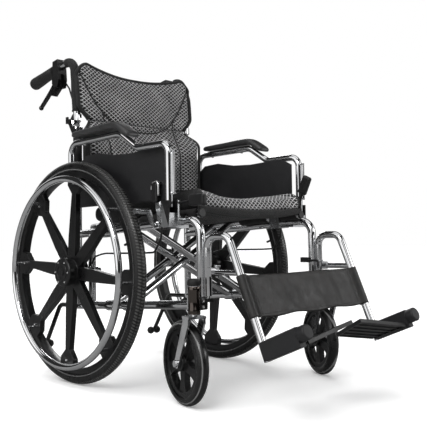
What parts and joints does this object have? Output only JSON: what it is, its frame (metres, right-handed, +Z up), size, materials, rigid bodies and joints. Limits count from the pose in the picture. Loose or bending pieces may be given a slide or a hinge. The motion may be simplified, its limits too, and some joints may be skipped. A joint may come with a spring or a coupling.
{
  "type": "manual wheelchair",
  "caption": "Folding manual wheelchair with chromed tube frame, spoked mag wheels, handrims, swivel casters, flip-up footplates and lift-up armrests.",
  "frame": {"origin": "on the floor, midway between the handrims and midway along the whole length", "axes": "+Z up, +Y towards the push handles (the rider faces -Y), +X towards the rider's left"},
  "size_m": [0.6558, 1.0759, 0.936],
  "materials": {
    "chrome_tube": "polished",
    "silver_casting": "satin",
    "black_mag": "satin moulded",
    "tyre_rubber": "ribbed tread",
    "bright_steel": "bright",
    "black_plastic": "fine grain",
    "pad_foam": "smooth skinned foam",
    "black_panel": "fine grain",
    "grip_rubber": "soft ribbed",
    "black_metal": "semi-gloss",
    "mesh_fabric": "diamond mesh",
    "leatherette": "grained"
  },
  "bodies": {
    "right_side": {"right_frame": "chrome_tube", "right_saddles": "silver_casting", "right_axle": "bright_steel", "right_brake_cable": "black_plastic", "right_tip_lever": "black_metal", "backrest": "mesh_fabric"},
    "left_side": {"left_frame": "chrome_tube", "left_saddles": "silver_casting", "left_axle": "bright_steel", "left_brake_cable": "black_plastic", "left_tip_lever": "black_metal"},
    "brace_a": {"brace_a": "bright_steel"},
    "brace_b": {"brace_b": "bright_steel"},
    "seat": {"seat_sling": "mesh_fabric", "seat_cushion": "mesh_fabric"},
    "right_rear_wheel": {"right_wheel": "black_mag", "right_tyre": "tyre_rubber", "right_handrim": "chrome_tube", "right_hub_cap": "black_mag"},
    "right_fork": {"right_fork": "bright_steel"},
    "right_caster_wheel": {"right_caster": "black_mag", "right_caster_tyre": "tyre_rubber"},
    "right_hanger": {"right_hanger": "chrome_tube", "right_foot_block": "black_plastic", "calf_strap": "leatherette"},
    "right_hanger_latch": {"right_hanger_latch": "black_plastic"},
    "right_footplate": {"right_footplate": "black_plastic"},
    "right_armrest": {"right_arm_tube": "chrome_tube", "right_arm_pad": "pad_foam", "right_side_panel": "black_panel"},
    "right_arm_lock": {"right_arm_lock": "black_plastic"},
    "right_back": {"right_back_cane": "chrome_tube", "right_push_grip": "grip_rubber", "right_brake_perch": "black_plastic"},
    "right_hand_brake": {"right_hand_brake": "black_metal"},
    "right_back_latch": {"right_back_latch": "black_plastic"},
    "right_brake_lever": {"right_brake_lever": "black_plastic"},
    "right_brake_shoe": {"right_brake_shoe": "silver_casting"},
    "left_rear_wheel": {"left_wheel": "black_mag", "left_tyre": "tyre_rubber", "left_handrim": "chrome_tube", "left_hub_cap": "black_mag"},
    "left_fork": {"left_fork": "bright_steel"},
    "left_caster_wheel": {"left_caster": "black_mag", "left_caster_tyre": "tyre_rubber"},
    "left_hanger": {"left_hanger": "chrome_tube", "left_foot_block": "black_plastic"},
    "left_hanger_latch": {"left_hanger_latch": "black_plastic"},
    "left_footplate": {"left_footplate": "black_plastic"},
    "left_armrest": {"left_arm_tube": "chrome_tube", "left_arm_pad": "pad_foam", "left_side_panel": "black_panel"},
    "left_arm_lock": {"left_arm_lock": "black_plastic"},
    "left_back": {"left_back_cane": "chrome_tube", "left_push_grip": "grip_rubber", "left_brake_perch": "black_plastic"},
    "left_hand_brake": {"left_hand_brake": "black_metal"},
    "left_back_latch": {"left_back_latch": "black_plastic"},
    "left_brake_lever": {"left_brake_lever": "black_plastic"},
    "left_brake_shoe": {"left_brake_shoe": "silver_casting"}
  },
  "joints": [
    {"name": "fold", "type": "hinge", "parent": "right_side", "child": "brace_a", "pos_m": [-0.215, 0.22475, 0.2085], "axis": [0, -0.9981, 0.061], "range_deg": [0, 50], "deforming": ["seat_sling", "seat_cushion", "backrest", "calf_strap"]},
    {"name": "brace_cross", "type": "hinge", "parent": "brace_a", "child": "brace_b", "pos_m": [0, 0.23184, 0.3245], "axis": [0, -0.9981, 0.061], "range_deg": [-100, 0]},
    {"name": "left_side_level", "type": "hinge", "parent": "brace_b", "child": "left_side", "pos_m": [0.215, 0.22475, 0.2085], "axis": [0, -0.9981, 0.061], "range_deg": [0, 50]},
    {"name": "seat_level", "type": "hinge", "parent": "brace_b", "child": "seat", "pos_m": [-0.192, 0.23818, 0.4281], "axis": [0, -0.9981, 0.061], "range_deg": [0, 50]},
    {"name": "right_wheel_spin", "type": "hinge", "parent": "right_side", "child": "right_rear_wheel", "pos_m": [-0.2746, 0.22475, 0.305], "axis": [1, 0, 0], "continuous": true},
    {"name": "right_caster_swivel", "type": "hinge", "parent": "right_side", "child": "right_fork", "pos_m": [-0.255, -0.23725, 0.25], "axis": [0, 0, 1], "continuous": true},
    {"name": "right_caster_spin", "type": "hinge", "parent": "right_fork", "child": "right_caster_wheel", "pos_m": [-0.24274, -0.19084, 0.1], "axis": [0.9668, -0.2555, 0], "continuous": true},
    {"name": "right_hanger_swing", "type": "hinge", "parent": "right_side", "child": "right_hanger", "pos_m": [-0.215, -0.24325, 0.28], "axis": [0, 0, -1], "range_deg": [0, 90]},
    {"name": "right_hanger_release", "type": "hinge", "parent": "right_hanger", "child": "right_hanger_latch", "pos_m": [-0.2, -0.25925, 0.327], "axis": [0, 0, -1], "range_deg": [0, 20], "stiffness_Nm_per_rad": 0.4, "springref_deg": -5.73},
    {"name": "right_footplate_flip", "type": "hinge", "parent": "right_hanger", "child": "right_footplate", "pos_m": [-0.199, -0.42352, 0.13244], "axis": [0, -0.9205, 0.3907], "range_deg": [0, 80]},
    {"name": "right_armrest_lift", "type": "hinge", "parent": "right_side", "child": "right_armrest", "pos_m": [-0.251, 0.27075, 0.602], "axis": [-1, 0, 0], "range_deg": [0, 80]},
    {"name": "right_arm_lock_turn", "type": "hinge", "parent": "right_side", "child": "right_arm_lock", "pos_m": [-0.232, -0.16325, 0.479], "axis": [-1, 0, 0], "range_deg": [0, 65]},
    {"name": "right_back_fold", "type": "hinge", "parent": "right_side", "child": "right_back", "pos_m": [-0.215, 0.31275, 0.738], "axis": [-1, 0, 0], "range_deg": [0, 100], "deforming": ["backrest"]},
    {"name": "right_hand_brake_squeeze", "type": "hinge", "parent": "right_back", "child": "right_hand_brake", "pos_m": [-0.215, 0.39075, 0.872], "axis": [1, 0, 0], "range_deg": [0, 18], "stiffness_Nm_per_rad": 3, "springref_deg": -11.46},
    {"name": "right_back_release", "type": "hinge", "parent": "right_side", "child": "right_back_latch", "pos_m": [-0.2296, 0.31275, 0.738], "axis": [1, 0, 0], "range_deg": [0, 25], "stiffness_Nm_per_rad": 0.4, "springref_deg": -5.73},
    {"name": "right_brake_pull", "type": "hinge", "parent": "right_side", "child": "right_brake_lever", "pos_m": [-0.24, -0.10725, 0.43207], "axis": [-1, 0, 0], "range_deg": [0, 32]},
    {"name": "right_brake_press", "type": "hinge", "parent": "right_side", "child": "right_brake_shoe", "pos_m": [-0.247, -0.08525, 0.43207], "axis": [-1, 0, 0], "range_deg": [0, 28]},
    {"name": "left_wheel_spin", "type": "hinge", "parent": "left_side", "child": "left_rear_wheel", "pos_m": [0.2746, 0.22475, 0.305], "axis": [1, 0, 0], "continuous": true},
    {"name": "left_caster_swivel", "type": "hinge", "parent": "left_side", "child": "left_fork", "pos_m": [0.255, -0.23725, 0.25], "axis": [0, 0, 1], "continuous": true},
    {"name": "left_caster_spin", "type": "hinge", "parent": "left_fork", "child": "left_caster_wheel", "pos_m": [0.27753, -0.19487, 0.1], "axis": [0.8829, -0.4695, 0], "continuous": true},
    {"name": "left_hanger_swing", "type": "hinge", "parent": "left_side", "child": "left_hanger", "pos_m": [0.215, -0.24325, 0.28], "axis": [0, 0, 1], "range_deg": [0, 90]},
    {"name": "left_hanger_release", "type": "hinge", "parent": "left_hanger", "child": "left_hanger_latch", "pos_m": [0.2, -0.25925, 0.327], "axis": [0, 0, 1], "range_deg": [0, 20], "stiffness_Nm_per_rad": 0.4, "springref_deg": -5.73},
    {"name": "left_footplate_flip", "type": "hinge", "parent": "left_hanger", "child": "left_footplate", "pos_m": [0.199, -0.42352, 0.13244], "axis": [0, 0.9205, -0.3907], "range_deg": [0, 80]},
    {"name": "left_armrest_lift", "type": "hinge", "parent": "left_side", "child": "left_armrest", "pos_m": [0.251, 0.27075, 0.602], "axis": [-1, 0, 0], "range_deg": [0, 80]},
    {"name": "left_arm_lock_turn", "type": "hinge", "parent": "left_side", "child": "left_arm_lock", "pos_m": [0.232, -0.16325, 0.479], "axis": [-1, 0, 0], "range_deg": [-65, 0]},
    {"name": "left_back_fold", "type": "hinge", "parent": "left_side", "child": "left_back", "pos_m": [0.215, 0.31275, 0.738], "axis": [-1, 0, 0], "range_deg": [0, 100], "deforming": ["backrest"]},
    {"name": "left_hand_brake_squeeze", "type": "hinge", "parent": "left_back", "child": "left_hand_brake", "pos_m": [0.215, 0.39075, 0.872], "axis": [1, 0, 0], "range_deg": [0, 18], "stiffness_Nm_per_rad": 3, "springref_deg": -11.46},
    {"name": "left_back_release", "type": "hinge", "parent": "left_side", "child": "left_back_latch", "pos_m": [0.2296, 0.31275, 0.738], "axis": [1, 0, 0], "range_deg": [0, 25], "stiffness_Nm_per_rad": 0.4, "springref_deg": -5.73},
    {"name": "left_brake_pull", "type": "hinge", "parent": "left_side", "child": "left_brake_lever", "pos_m": [0.24, -0.10725, 0.43207], "axis": [-1, 0, 0], "range_deg": [0, 32]},
    {"name": "left_brake_press", "type": "hinge", "parent": "left_side", "child": "left_brake_shoe", "pos_m": [0.247, -0.08525, 0.43207], "axis": [-1, 0, 0], "range_deg": [0, 28]}
  ],
  "couplings": [
    {"joint": "brace_cross", "follows": "fold", "ratio": -2},
    {"joint": "left_side_level", "follows": "fold", "ratio": 1},
    {"joint": "seat_level", "follows": "fold", "ratio": 1},
    {"joint": "right_footplate_flip", "follows": "fold", "ratio": 1.6},
    {"joint": "right_brake_press", "follows": "right_brake_pull", "ratio": 0.875},
    {"joint": "left_footplate_flip", "follows": "fold", "ratio": 1.6},
    {"joint": "left_brake_press", "follows": "left_brake_pull", "ratio": 0.875},
    {"joint": "left_back_fold", "follows": "right_back_fold", "ratio": 1}
  ]
}
